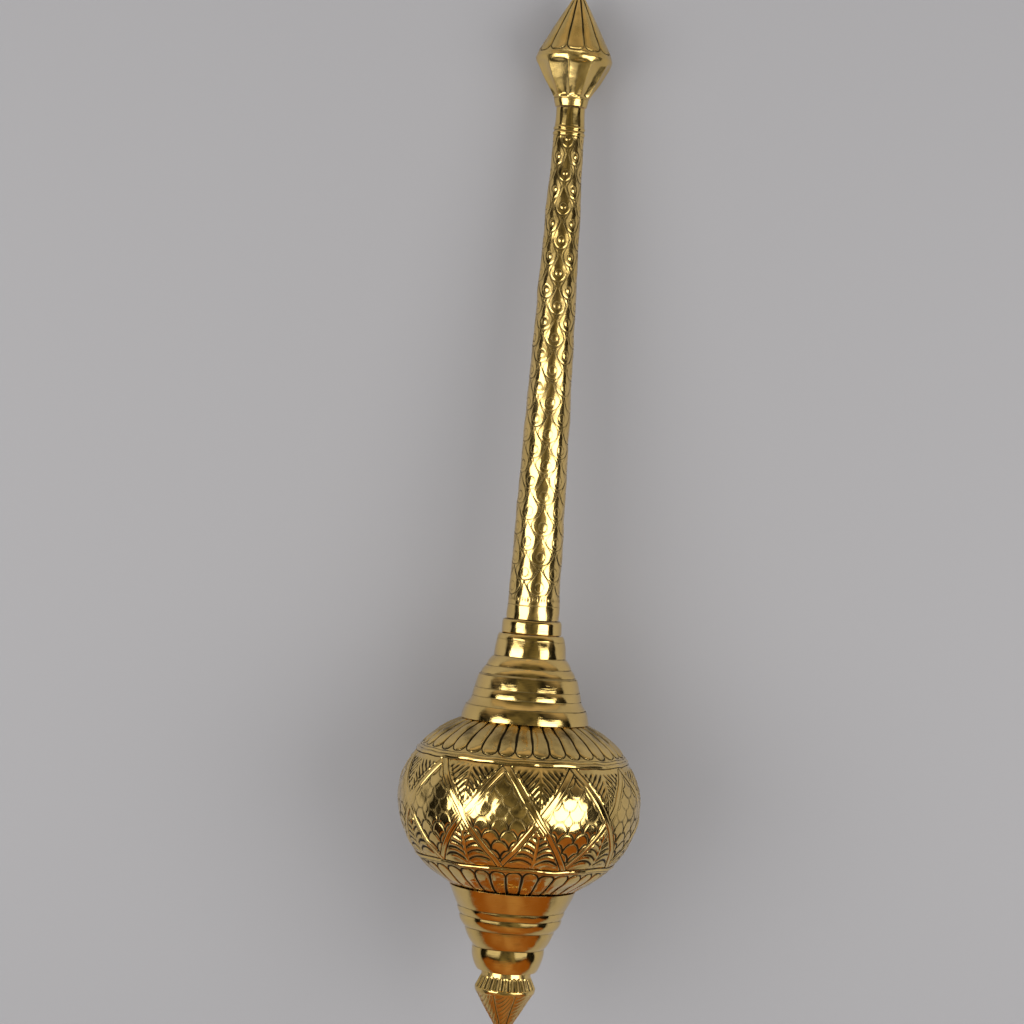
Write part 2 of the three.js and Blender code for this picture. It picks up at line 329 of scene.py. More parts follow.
def ring_of_repeats():
    """A node tree that sets a sector round the mace's axis, welds its seams and sets its metal."""
    tree = bpy.data.node_groups.get("ring_of_repeats")
    if tree:
        return tree
    tree = bpy.data.node_groups.new("ring_of_repeats", "GeometryNodeTree")
    for name, kind in (
        ("Sector", "Geometry"), ("Repeats", "Int"), ("Weld distance", "Float"),
        ("Joined to", "Object"), ("Metal", "Material"),
    ):
        tree.interface.new_socket(name, in_out="INPUT", socket_type="NodeSocket" + kind)
    tree.interface.new_socket("Ring", in_out="OUTPUT", socket_type="NodeSocketGeometry")
    given = linked(tree, "NodeGroupInput").outputs
    places = linked(tree, "GeometryNodeMeshLine", {"Count": given["Repeats"], "Offset": (0.0, 0.0, 0.0)})
    step = maths(tree, "DIVIDE", TURN, given["Repeats"])
    angle = times(tree, linked(tree, "GeometryNodeInputIndex").outputs[0], step)
    rotation = linked(tree, "ShaderNodeCombineXYZ", {"Z": angle})
    copies = linked(tree, "GeometryNodeInstanceOnPoints", {
        "Points": places.outputs["Mesh"], "Instance": given["Sector"], "Rotation": rotation.outputs[0],
    })
    real = linked(tree, "GeometryNodeRealizeInstances", {0: copies.outputs[0]})
    other = linked(tree, "GeometryNodeObjectInfo", {"Object": given["Joined to"]})
    both = linked(tree, "GeometryNodeJoinGeometry", {0: real.outputs[0]})
    tree.links.new(other.outputs["Geometry"], both.inputs[0])
    inputs = {"Geometry": both.outputs[0], "Distance": given["Weld distance"]}
    weld = linked(tree, "GeometryNodeMergeByDistance", inputs)
    soft = linked(tree, "GeometryNodeSetShadeSmooth", {"Geometry": weld.outputs[0]})
    inputs = {"Geometry": soft.outputs[0], "Material": given["Metal"]}
    finished = linked(tree, "GeometryNodeSetMaterial", inputs)
    linked(tree, "NodeGroupOutput", {"Ring": finished.outputs[0]})
    return tree


def ring(name, sector, repeats, metal, joined_to=None):
    """A closed mesh of a sector set round the axis, with the sector's groove depths as a point attribute.
    The attribute darkens the brass with patina, and on the frieze also with a painted shadow inside the
    arches.
    """
    points, faces, groove = sector
    mesh = bpy.data.meshes.new(name + "_sector")
    mesh.from_pydata((points * MM).tolist(), [], faces)
    mesh.attributes.new("groove", "FLOAT", "POINT").data.foreach_set("value", groove.astype(np.float32))
    piece = bpy.data.objects.new(name, mesh)
    bpy.context.scene.collection.objects.link(piece)
    modifier = piece.modifiers.new("Ring of repeats", "NODES")
    modifier.node_group = ring_of_repeats()
    sockets = {s.name: s.identifier for s in modifier.node_group.interface.items_tree if s.in_out == "INPUT"}
    modifier[sockets["Repeats"]] = repeats
    modifier[sockets["Weld distance"]] = WELD_DISTANCE
    modifier[sockets["Joined to"]] = joined_to
    modifier[sockets["Metal"]] = metal
    bpy.context.view_layer.update()
    scene_now = bpy.context.evaluated_depsgraph_get()
    finished = bpy.data.meshes.new_from_object(
        piece.evaluated_get(scene_now), preserve_all_data_layers=True, depsgraph=scene_now
    )
    piece.modifiers.clear()
    piece.data = finished
    finished.name = name
    finished.materials.clear()
    finished.materials.append(metal)
    bpy.data.meshes.remove(mesh)
    if joined_to:
        bpy.data.objects.remove(joined_to)
    return piece


def vertices_of(mesh):
    values = np.empty(3 * len(mesh.vertices), np.float32)
    mesh.vertices.foreach_get("co", values)
    return values.reshape(-1, 3).astype(float)


def hand_work(points, depth, spacing, seed):
    """Shallow swells and hollows, a few crossing waves about spacing apart."""
    dice = np.random.default_rng(seed)
    waves = dice.normal(size=(HAND_WAVES, 3)) * TURN / (2.2 * spacing)
    phases = dice.uniform(0.0, TURN, HAND_WAVES)
    return depth * np.sin(points @ waves.T + phases).sum(axis=1) / 3.0


def wander(points, span, reach):
    """Moves points of a hand-made piece a little off their true places, less near the piece's two ends."""
    low, high = span or (points[:, 2].min(), points[:, 2].max())
    along = points[:, 2]
    fade = smooth(low, low + WANDER_FADE, along) * smooth(-high, -high + WANDER_FADE, -along)
    steps = [hand_work(points, reach, WANDER_SPACING, seed) for seed in WANDER_SEEDS]
    return points + np.stack(steps, axis=1) * fade[:, None]


def settle(piece, node, waves, reach, lights=(), span=None):
    """Adds unevenness, lays the piece down in its place, and puts it on the frame and in its lights."""
    mesh = piece.data
    points = vertices_of(mesh)
    normals = np.empty(3 * len(points), np.float32)
    mesh.vertex_normals.foreach_get("vector", normals)
    lift = sum(hand_work(points / MM, *wave) for wave in waves)
    points = wander(points / MM, span, reach) * MM + normals.reshape(-1, 3) * lift[:, None] * MM
    placed = np.clip(points @ AXES + np.array(ORIGIN), CAD_BOUNDS[0], CAD_BOUNDS[1])
    mesh.vertices.foreach_set("co", placed.astype(np.float32).ravel())
    mesh.update()
    mesh.set_sharp_from_angle(angle=SHARP_ANGLE)
    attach(piece, "root")
    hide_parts(node)
    for group in lights:
        join_lights(piece, group, "EXCLUDE" if group == "softboxes_without" else "INCLUDE")


def join_lights(piece, group, link_state="INCLUDE"):
    """Adds a piece to the group of pieces that a lamp lights, or leaves out."""
    light_group(group).objects.link(piece)
    light_group(group).collection_objects[-1].light_linking.link_state = link_state


def light_group(name):
    return bpy.data.collections.get(name) or bpy.data.collections.new(name)


# ---- metals


PATCHES = (28.0, 4.0)
BLOTCHES = (46.0, 5.0)
SMUDGES = (95.0, 5.0)
GRAIN = (240.0, 3.0)
SCRATCHES = (420.0, 2.0, (1.0, 1.0, 0.12))
LATHE_LINES = (2400.0, 1.0, (0.02, 0.02, 1.0))
SCRATCH_SHARE = 0.35
BUMP_DISTANCE = 0.00006


def brass(name, finish, dull, pits, roughness, tarnish, spun=0.0):
    """Brass with patina in its grooves, dull and tarnished patches, scratches and, if spun, lathe lines.
    On the frieze the grooves also carry a painted shadow inside the arches.
    """
    metal = bpy.data.materials.get(name + "_finish")
    if metal:
        return metal
    metal = bpy.data.materials.new(name + "_finish")
    metal.use_nodes = True
    metal.diffuse_color = opaque(finish.brass)
    tree = metal.node_tree
    tree.nodes.clear()
    place = linked(tree, "ShaderNodeTexCoord").outputs["Object"]
    turned = linked(tree, "ShaderNodeMapping", {"Vector": place}, vector_type="TEXTURE")
    turned.inputs["Rotation"].default_value = Matrix((RIGHT, UP, TIPWARDS)).transposed().to_euler()
    groove = linked(tree, "ShaderNodeAttribute", attribute_name="groove").outputs["Fac"]

    def noise(scale, detail, stretch=(1.0, 1.0, 1.0)):
        inputs = {0: turned.outputs[0], 1: stretch}
        stretched = linked(tree, "ShaderNodeVectorMath", inputs, operation="MULTIPLY").outputs[0]
        return noise_of(tree, stretched, scale, detail)

    smudges = noise(*SMUDGES)
    stained = map_range(tree, smudges, 0.35, 0.75, 0.75, 1.15)
    blotches = map_range(tree, noise(*BLOTCHES), 0.5, 0.68, 0.0, tarnish)
    # soil is patina and tarnish, and on the frieze also a painted shadow inside the arches.
    soil = maths(tree, "ADD", times(tree, groove, stained), blotches)
    dark = map_range(tree, soil, 0.12, 0.72, soft=True)
    darkened = map_range(tree, noise(*PATCHES), 0.42, 0.72, 0.0, dull)
    bright = blend_colour(tree, darkened, opaque(finish.brass), opaque(finish.deep_brass))
    base = blend_colour(tree, dark, bright, opaque(finish.patina))
    worn = map_range(tree, smudges, 0.3, 0.8, roughness * 0.8, roughness * 1.5)
    rough = maths(tree, "ADD", worn, times(tree, dark, finish.dullness), clamp=True)
    scratches = times(tree, noise(*SCRATCHES), SCRATCH_SHARE * pits)
    height = maths(tree, "ADD", times(tree, noise(*GRAIN), pits), scratches)
    height = maths(tree, "ADD", height, times(tree, noise(*LATHE_LINES), spun))
    bump = linked(tree, "ShaderNodeBump", {"Strength": 1.0, "Distance": BUMP_DISTANCE, "Height": height})
    surface = linked(tree, "ShaderNodeBsdfPrincipled", {
        "Base Color": base, "Metallic": 1.0, "Roughness": rough, "Normal": bump.outputs[0],
    })
    linked(tree, "ShaderNodeOutputMaterial", {"Surface": surface.outputs[0]})
    return metal


def cast_brass(finish):
    return brass("cast_brass", finish, dull=0.8, pits=0.9, roughness=finish.polish * 2.5, tarnish=0.1)


def chased_brass(finish):
    return brass("chased_brass", finish, dull=0.6, pits=0.9, roughness=finish.polish * 1.8, tarnish=0.2)


def spun_brass(finish):
    polish = finish.polish * 1.2
    return brass("spun_brass", finish, dull=0.35, pits=0.4, roughness=polish, tarnish=0.2, spun=1.2)


def embossed_brass(finish):
    return brass("embossed_brass", finish, dull=0.6, pits=0.9, roughness=finish.polish * 1.4, tarnish=0.24)


# ---- pommel


POMMEL_NECK_FROM = 80.0
POMMEL_LIP_AT = 99.3
PETAL_CORNER = 6.2
PETALS_TO_RIM = 5.0
POMMEL_COLUMNS = 240


def pommel_cone_relief(sizes):
    depth = sizes.engraving / MM

    def relief(rows, angle):
        across = rows.radius * nearest(angle * sizes.petals / TURN) * TURN / sizes.petals
        half = rows.radius * math.pi / sizes.petals - 0.1
        end = rows.arc[-1] - PETALS_TO_RIM - rows.arc
        inside = corner_inside(half - np.abs(across), end, PETAL_CORNER)
        on_cone = smooth(4.0, 14.0, rows.at) * smooth(-1.5, 0.0, end + 3.0)
        line = hump(inside - 0.15, 0.85) * on_cone
        crown = 0.32 * (1.0 - (1.0 - np.clip(inside / np.maximum(half, 1.0), 0.0, 1.0)) ** 2) * on_cone
        return crown - depth * line - 0.2 * on_cone, np.maximum(line, 0.2 * on_cone)

    return relief


def pommel_flute_relief(sizes):
    depth = sizes.flute_depth / MM

    def relief(rows, angle):
        across = nearest((angle + math.radians(9.0)) * sizes.flutes / TURN + 0.5)
        fade = smooth(1.5, 8.5, rows.arc) * (1.0 - smooth(97.0, 99.2, rows.at))
        hollow = (1.0 - (2.0 * across) ** 2) * fade
        ridge = hump(0.5 - np.abs(across), 0.09) * smooth(POMMEL_NECK_FROM, 96.0, rows.at) * fade
        return -depth * hollow, 0.55 * hump(rows.at - POMMEL_LIP_AT, 0.9) + 0.3 * ridge

    return relief


def make_pommel(context):
    sizes = context.scene.mace_pommel
    metal = cast_brass(context.scene.mace_finish)
    rim = sizes.rim_radius / MM
    cone_end = POMMEL_RIM_AT - 4.5
    cone = [(u * cone_end, u * (rim - 1.25) + 1.8 * u * (1.0 - u)) for u in np.linspace(0.0, 1.0, 14)]
    cone[0] = (0.0, 0.0)
    cone.append((POMMEL_RIM_AT, rim))
    rows = rounded_rows([(0.0, 0.0), (0.12, 0.9), (1.3, 1.5)] + cone[1:], 96, 0.45, 0.3)
    rim_row = (POMMEL_RIM_AT, rim, 0.0, 1.0, rows.arc[-1] + 0.2)
    rows = Rows(*(np.append(values, end) for values, end in zip(rows, rim_row)))
    first = -math.pi / sizes.petals
    petal = repeat_angles(sizes.petals, POMMEL_COLUMNS // sizes.petals, first)
    pointed = turned_sector(rows, petal, pommel_cone_relief(sizes), (True, False))
    front = ring("pommel_cone", pointed, sizes.petals, metal)
    neck = [
        (POMMEL_RIM_AT, rim), (68.6, rim - 1.0), (84.0, 25.0), (95.5, 17.6), (98.6, 15.9), (99.4, 15.4),
        (100.4, 15.5), (102.0, 15.2), (104.4, 14.5), (106.7, 13.9), (106.7, 12.5),
    ]
    rows = rounded_rows(neck, 92, 0.4, 0.4)
    flute = repeat_angles(sizes.flutes, POMMEL_COLUMNS // sizes.flutes, first)
    back = turned_sector(rows, flute, pommel_flute_relief(sizes), (False, True))
    piece = ring("pommel", back, sizes.flutes, metal, front)
    settle(piece, "pommel_finial", [(0.07, 13.0, 3), (0.02, 5.0, 4)], 0.15, ["pommel_lit"])


# ---- shaft

SHAFT_FROM = 107.3
SHAFT_TO = 564.6
SHAFT_SWELL = 3.6
CHASED_FROM = 133.5
CHASED_TO = 545.0
FIRST_EYE_AT = 166.3
EYE_SPACING = 30.22
EYE_TIGHTENING = 0.14
EYE_PLACE = 0.72
ROUND_FROM = 0.62
SHAFT_BEADS_AT = (126.0, 130.5)
SHAFT_NICKS = ((128.25, 0.9), (124.2, 0.6), (132.5, 0.6))
FOOT_STROKES = 50.0
FOOT_LINE_AT = 552.0


def scale_phase(at):
    """How many scales lie between the first eye and a place on the shaft; they grow shorter to the foot."""
    root = np.sqrt(np.maximum(EYE_SPACING ** 2 - 4.0 * EYE_TIGHTENING * (at - FIRST_EYE_AT), 1.0))
    return (EYE_SPACING - root) / (2.0 * EYE_TIGHTENING)


def scale_half_width(u, widest):
    """Half the width of a teardrop scale at u of its length, pointed at 0 and round at 1."""
    flank = np.clip(u / ROUND_FROM, 0.0, 1.0) ** 1.35
    bottom = np.sqrt(np.clip(1.0 - (np.clip(u - ROUND_FROM, 0.0, 1.0) / (1.0 - ROUND_FROM)) ** 2, 0.0, 1.0))
    return widest * np.where(u < ROUND_FROM, flank, bottom)


def shaft_relief(sizes):
    depth = sizes.chasing / MM
    eye = sizes.eye_radius / MM
    columns = 2 * sizes.columns

    def relief(rows, angle):
        phase = scale_phase(rows.at)
        pitch = EYE_SPACING - 2.0 * EYE_TIGHTENING * phase
        drift = math.radians(-3.0) + math.radians(12.0) * (rows.at - CHASED_FROM) / (CHASED_TO - CHASED_FROM)
        turn = (angle - drift) * columns / TURN
        spacing = rows.radius * TURN / columns
        inside = np.full(np.broadcast(turn, phase).shape, -9.0)
        eyes = np.full_like(inside, 99.0)
        lift = np.zeros_like(inside)
        for side in (0, 1):
            own = turn if side == 0 else turn - 1.0
            across = 2.0 * nearest(own / 2.0) * spacing
            along = phase + EYE_PLACE + 0.5 * side
            for shift in (-0.08, 0.0):
                u = np.mod(along + shift, 1.0) - shift
                widest = 0.765 * spacing
                half = scale_half_width(np.clip(u, 0.0, 1.0), widest)
                steep = 1.0 + (0.9 * hump(u - 0.3, 0.5) * widest / (0.5 * pitch)) ** 2
                flank = (half - np.abs(across)) / np.sqrt(steep)
                bottom = np.hypot(across / widest, np.clip(u - ROUND_FROM, 0.0, 2.0) / (1.0 - ROUND_FROM))
                cap = (1.0 - bottom) * np.minimum(widest, (1.0 - ROUND_FROM) * pitch)
                reach = np.where(u > ROUND_FROM, np.maximum(cap, -9.0), flank)
                reach = np.where(u < 0.0, -np.hypot(across, u * pitch), reach)
                better = reach > inside
                inside = np.where(better, reach, inside)
                lift = np.where(better, smooth(0.05, 0.85, u), lift)
            to_eye = np.hypot(across, (np.mod(along, 1.0) - EYE_PLACE) * pitch)
            eyes = np.minimum(eyes, to_eye)
        chased = smooth(CHASED_FROM - 1.0, CHASED_FROM + 3.0, rows.at)
        chased = chased * smooth(-CHASED_TO - 1.0, -CHASED_TO + 1.5, -rows.at)
        size = np.clip(spacing / 13.0, 0.72, 1.05)
        gap = hump(inside - 0.1, 0.78 * size)
        lip = 0.11 * hump(inside - 1.35 * size, 0.9)
        dome = 0.07 * smooth(0.0, 4.2, inside) * (0.35 + 0.65 * lift)
        ring_groove = hump(eyes - eye * size, 0.7)
        bead = 0.2 * (1.0 - smooth(2.0 * size, 3.2 * size, eyes))
        bead = bead + 0.16 * hump(eyes, 1.4) - 0.1 * hump(eyes - 2.0, 0.7)
        clear = smooth(eye * size + 0.2, eye * size + 1.4, eyes)
        worn = 1.0 - 0.55 * smooth(230.0, 380.0, rows.at)
        height = (dome + (lip - depth * gap) * clear + bead - 0.34 * ring_groove) * worn
        groove = np.maximum(gap * clear * 0.78, ring_groove * 0.68) + 0.2 * hump(eyes, 0.8)
        strokes = hump(nearest((angle - drift) * FOOT_STROKES / TURN), 0.26)
        strokes = strokes * hump(rows.at - CHASED_TO - 1.5, 2.6)
        line = hump(rows.at - FOOT_LINE_AT, 0.5)
        beads = sum(hump(rows.at - at, 1.45) for at in SHAFT_BEADS_AT)
        nicks = sum(hump(rows.at - at, half) for at, half in SHAFT_NICKS)
        height = (height - 0.2) * chased - 0.45 * strokes - 0.3 * line + 0.75 * beads - 0.2 * nicks
        return height - 0.25, np.clip(groove * chased + 0.8 * strokes + 0.7 * line + 0.7 * nicks, 0.0, 1.0)

    return relief


def make_shaft(context):
    sizes = context.scene.mace_shaft
    metal = chased_brass(context.scene.mace_finish)
    neck, foot = sizes.neck_radius / MM, sizes.foot_radius / MM
    outline = [(SHAFT_FROM, neck - 1.0)]
    for u in np.linspace(0.0, 1.0, 40):
        radius = neck + (foot - neck) * u + SHAFT_SWELL * u * (1.0 - u)
        outline.append((SHAFT_FROM + u * (SHAFT_TO - SHAFT_FROM), radius))
    outline.append((SHAFT_TO, foot - 1.0))
    rows = rounded_rows(outline, 640, 0.3, 0.02)
    sector = turned_sector(rows, repeat_angles(sizes.columns, 30), shaft_relief(sizes))
    piece = ring("scaled_shaft", sector, sizes.columns, metal)
    settle(piece, "shaft", [(0.09, 14.0, 11), (0.03, 6.0, 12)], 0.3, ["shaft_lit"])


# ---- spun cones and ferrule

FERRULE = [
    (564.9, 23.0), (564.9, 25.1), (566.1, 26.1), (567.4, 26.55),
    (575.8, 26.9), (577.2, 26.6), (577.6, 25.9), (577.6, 24.0),
]
UPPER_CONE_START = (577.9, 28.4)
UPPER_CONE_RINGS = [
    (583.0, 30.4, 0.5), (598.2, 32.3, 0.4), (607.4, 38.0, 1.0), (614.4, 42.3, 0.8), (615.6, 43.8, 0.0),
    (627.1, 46.9, 0.35), (634.9, 48.8, 0.5), (642.7, 53.8, -0.6), (655.2, 57.0, 0.8),
]
LOWER_CONE_START = (803.7, 56.6)
LOWER_CONE_RINGS = [
    (822.2, 48.0, 0.5), (829.3, 45.4, 0.7), (840.5, 40.4, 1.7), (849.0, 37.2, 0.3),
    (857.0, 32.1, 0.4), (870.0, 30.7, 0.9), (878.4, 26.4, 0.5),
]
LOWER_CONE_LIGHTS = ["warm_lit", "faintly_lit", "softboxes_without"]
FERRULE_CREASE_AT = 565.2
CONE_LIP = 3.0


def spun_relief(outline_corners):
    """A trace of patina in the creases between rings."""
    def relief(rows, angle):
        crease = sum(hump(rows.at - at, 0.7) for at in outline_corners)
        return 0.0, np.clip(0.55 * crease, 0.0, 1.0)

    return relief


def make_spun_piece(context, name, node, outline, creases, rows, columns, seed, lights=()):
    sizes = context.scene.mace_cones
    metal = spun_brass(context.scene.mace_finish)
    shape = rounded_rows(outline, rows, sizes.edge / MM, 0.6)
    sector = turned_sector(shape, repeat_angles(8, columns // 8), spun_relief(creases))
    piece = ring(name, sector, 8, metal)
    wave = sizes.unevenness / MM
    settle(piece, node, [(wave, 16.0, seed), (0.5 * wave, 8.0, seed + 1)], wave, lights)


def make_cones(context):
    make_spun_piece(context, "ferrule", "shaft_ferrule", FERRULE, [FERRULE_CREASE_AT], 56, 160, 21)
    for name, node, start, rings, seed, lights in (
        ("upper_cone", "upper_neck_cone", UPPER_CONE_START, UPPER_CONE_RINGS, 31, []),
        ("lower_cone", "lower_neck_cone", LOWER_CONE_START, LOWER_CONE_RINGS, 41, LOWER_CONE_LIGHTS),
    ):
        outline = ring_outline(start, rings)
        (first_at, first), (last_at, last) = outline[0], outline[-1]
        outline = [(first_at, first - CONE_LIP)] + outline + [(last_at, last - CONE_LIP)]
        creases = [end for end, _, _ in rings[:-1]]
        make_spun_piece(context, name, node, outline, creases, 130, 224, seed, lights)


# ---- head

HEAD_FROM = 655.5
HEAD_TO = 803.4
HEAD_WIDEST = 726.0
HEAD_RADIUS = 109.75
HEAD_HANDLE_HALF = 82.0
HEAD_TIP_HALF = 90.0
FRIEZE_FROM = 686.6
FRIEZE_TO = 776.3
DIAMOND_AT = math.radians(-8.5)
HEAD_WANDER = 0.42
LINES_PER_STRAP = 68


def head_radius(at):
    half = np.where(at < HEAD_WIDEST, HEAD_HANDLE_HALF, HEAD_TIP_HALF)
    return HEAD_RADIUS * np.sqrt(1.0 - ((at - HEAD_WIDEST) / half) ** 2)


def head_outline(first, last, points=60):
    return [(at, float(head_radius(at))) for at in np.linspace(first, last, points)]


def petal_band_relief(sizes, from_bead, petals_from, fillet, engraved):
    """Petals with round ends beside a bead. from_bead says how far each row is from the frieze."""
    def relief(rows, angle):
        out = from_bead(rows)
        across = rows.radius * nearest(angle * sizes.petals / TURN) * TURN / sizes.petals
        half = rows.radius * math.pi / sizes.petals - 0.25
        end = out - petals_from
        inside = corner_inside(half - np.abs(across), end, 7.6)
        on_petals = smooth(-0.6, 0.2, end)
        line = hump(inside, 1.25 if engraved else 0.85 + 0.1 * smooth(3.0, 16.0, end)) * on_petals
        share_in = np.clip(inside / np.maximum(0.85 * half, 1.0), 0.0, 1.0)
        crown = (1.0 - (1.0 - share_in) ** 2.4) * on_petals
        lip = 0.25 * hump(inside - 1.3, 0.8) * on_petals if engraved else 0.0
        bead = hump(out - 2.5, 1.45)
        flat = smooth(4.4, 4.9, out) * (1.0 - smooth(fillet - 0.5, fillet, out))
        seams = hump(out - 0.45, 0.8) + hump(out - 4.25, 0.55) + hump(out - fillet - 0.15, 0.5)
        height = -1.0 + 1.1 * bead + 0.35 * flat - 0.7 * line + (0.5 if engraved else 1.25) * crown + lip
        soil = np.clip(line + 0.85 * seams, 0.0, 1.0)
        # The petals are a little darker all over; the handle-side petals more so, and more again towards the
        # cone.
        darkened = (0.12 if engraved else 0.2 + 0.15 * smooth(8.0, 20.0, end)) * on_petals
        return height, np.clip(soil + darkened, 0.0, 1.0)

    return relief


def settle_on_head(piece, waves):
    """Settles a piece of the head, whose pieces wander as one so that they still meet."""
    settle(piece, "head_bulb", waves, HEAD_WANDER, ["warm_lit"], (HEAD_FROM, HEAD_TO))


def make_petal_bands(context):
    sizes = context.scene.mace_head
    metal = embossed_brass(context.scene.mace_finish)
    for name, first, last, petals_from, fillet, engraved, seed in (
        ("head_handle_petals", HEAD_FROM, FRIEZE_FROM, 9.0, 7.3, False, 51),
        ("head_tip_petals", FRIEZE_TO, HEAD_TO, 6.5, 6.1, True, 61),
    ):
        outline = head_outline(first, last)
        rows = rounded_rows(outline, 56, 0.3, 0.0)
        total = rows.arc[-1]
        spread = np.linspace(0.0, 1.0, 56)
        dense = spread ** 1.35 if engraved else 1.0 - (1.0 - spread) ** 1.35
        rows = Rows(*(np.interp(dense * total, rows.arc, values) for values in rows))
        from_bead = (lambda r: r.arc) if engraved else (lambda r, t=total: t - r.arc)
        relief = petal_band_relief(sizes, from_bead, petals_from, fillet, engraved)
        sector = turned_sector(rows, repeat_angles(sizes.petals, 24, -math.pi / sizes.petals), relief)
        piece = ring(name, sector, sizes.petals, metal)
        settle_on_head(piece, [(0.13, 13.0, seed), (0.05, 5.0, seed + 1)])


def strap_lines(lines_per_strap):
    """Evenly growing places from 0 to 1 between two straps, closer together beside the straps."""
    even = np.linspace(0.0, 1.0, lines_per_strap + 1)
    return even - 0.075 * np.sin(TURN * even)


def scales_in_diamond(x, away, pitch, row_height):
    """Fish scales that point to the diamond's middle: how far inside a scale each point is, and its rise."""
    depth = 1.12 * row_height
    row = np.floor(away / row_height)

    def edge(k):
        centre = np.where(np.mod(k, 2) == 0, 0.0, 0.5)
        side = nearest(x / pitch - centre) * pitch
        up = away - k * row_height
        out = np.hypot(side / (0.5 * pitch), np.clip(depth - up, 0.0, None) / depth)
        return (1.0 - out) * 0.45 * pitch, up

    own, rise = edge(row)
    below, rise_below = edge(row - 1.0)
    inside = np.where(own > 0.0, own, np.minimum(np.abs(own), np.where(below > 0.0, below + 0.6, 9.0)))
    rise = np.where(own > 0.0, rise, rise_below)
    return own, inside, rise


FRIEZE_SUNK = 1.5
VEIN_SPACING = 6.6
BEAD_SPACING = 6.4
FROND_LENGTH = 38.0


def frieze_relief(sizes, arc_length):
    strap = 0.5 * sizes.strap_width / MM
    relief_height = sizes.relief / MM
    pitch, row_height = sizes.scale_pitch / MM, sizes.scale_rows / MM

    def relief(u, v, radius):
        width = TURN * radius / sizes.diamonds
        steep = np.hypot(1.0 / width, 1.0 / arc_length)
        over = np.abs(nearest(v - u)) / steep
        under = np.abs(nearest(v + u)) / steep
        half = strap * (1.05 - 0.18 * smooth(0.4, 0.6, v))

        def band(distance):
            return smooth(-half - 0.35, -half + 0.15, -distance)

        def roll(distance):
            return hump(distance - half + 0.4, 0.8) - 0.8 * hump(distance, 0.9)

        top, low = band(over), band(under) * smooth(half + 0.5, half + 1.3, over)
        edges = roll(over) + roll(under) * smooth(half + 0.5, half + 1.3, over)
        outline = np.maximum(hump(over - half - 0.75, 0.85), hump(under - half - 0.75, 0.85) * (1.0 - top))
        covered = np.maximum(top, low)
        clear = smooth(half + 0.9, half + 1.9, np.minimum(over, under))

        x = nearest(u) * width
        y = (v - 0.5) * arc_length
        in_diamond = np.abs(nearest(u)) < np.minimum(v, 1.0 - v)
        own, inside, rise = scales_in_diamond(x, np.abs(y), pitch, row_height)
        lower = smooth(0.46, 0.6, v)
        scale_line = hump(own, 0.8 + 0.5 * lower)
        tip = np.clip(1.0 - rise / (1.5 * row_height), 0.0, 1.0)
        rim = hump(inside - 1.3, 1.0)
        middle = hump(y, 0.55)
        scales = (0.12 + 0.18 * lower) * tip + (0.05 + 0.05 * lower) * rim - (0.22 + 0.3 * lower) * scale_line
        scales = scales - 0.15 * middle
        scale_soil = (0.85 + 0.15 * lower) * np.maximum(scale_line, 0.6 * middle)

        side = nearest(u - 0.5) * width
        reach = np.abs(side)
        leaf_top, leaf_soil = upper_leaf(reach, v * arc_length, np.minimum(over, under))
        # The fronds' darkening is patina plus a painted shadow inside each arch.
        frond_top, frond_patina_and_shade = lower_fronds(reach, y, np.minimum(over, under), 0.5 * arc_length)
        wear = hump(v - 0.42, 0.2)
        ground = np.where(in_diamond, scales, np.where(v < 0.5, leaf_top, frond_top))
        soil = np.where(in_diamond, scale_soil, np.where(v < 0.5, leaf_soil, frond_patina_and_shade))
        ground, soil = ground * (1.0 - 0.65 * wear), soil * (1.0 - 0.35 * wear)
        polished = 1.0 - 0.7 * wear
        straps = (relief_height + 0.10 * edges) * covered - 0.45 * outline
        height = (1.0 - covered) * clear * ground + straps * polished
        bare = 1.0 - covered
        # groove is the patina of the frieze, and inside the arches also a painted shadow.
        groove = np.clip(np.maximum(soil * clear * bare, 0.9 * outline * polished * bare), 0.0, 1.0)
        return height - FRIEZE_SUNK, groove

    return relief


def upper_leaf(reach, down, to_strap):
    """The hanging leaf between straps: drooping veins beside a midrib, and beads along the straps."""
    veins_at = (down - 1.15 * reach) / VEIN_SPACING
    long_vein = hump(nearest(veins_at), 0.34) * smooth(0.9, 2.0, reach) * (1.0 - smooth(9.5, 12.5, reach))
    in_leaf = smooth(3.0, 6.0, down) * smooth(4.4, 5.8, to_strap)
    midrib = hump(reach, 0.9) * smooth(2.0, 5.0, down)
    between = hump(nearest(veins_at + 0.5), 0.33) * smooth(1.0, 2.4, reach) * in_leaf
    beads = bead_row(to_strap, down, 4.9, 1.35)
    midrib = midrib * smooth(2.5, 4.0, to_strap)
    height = 0.6 * long_vein * in_leaf + 0.5 * midrib + 0.65 * beads - 0.45 * between
    return height, np.clip(1.2 * between + 0.8 * hump(to_strap - 6.6, 1.0) * in_leaf, 0.0, 1.0)


def bead_row(to_strap, along, distance, radius):
    """Round beads in a row beside a strap. The strap leans, so a step along it is longer than one down."""
    step = nearest(along / BEAD_SPACING) * BEAD_SPACING * 1.15
    return np.sqrt(np.clip(1.0 - ((to_strap - distance) ** 2 + step ** 2) / radius ** 2, 0.0, 1.0))


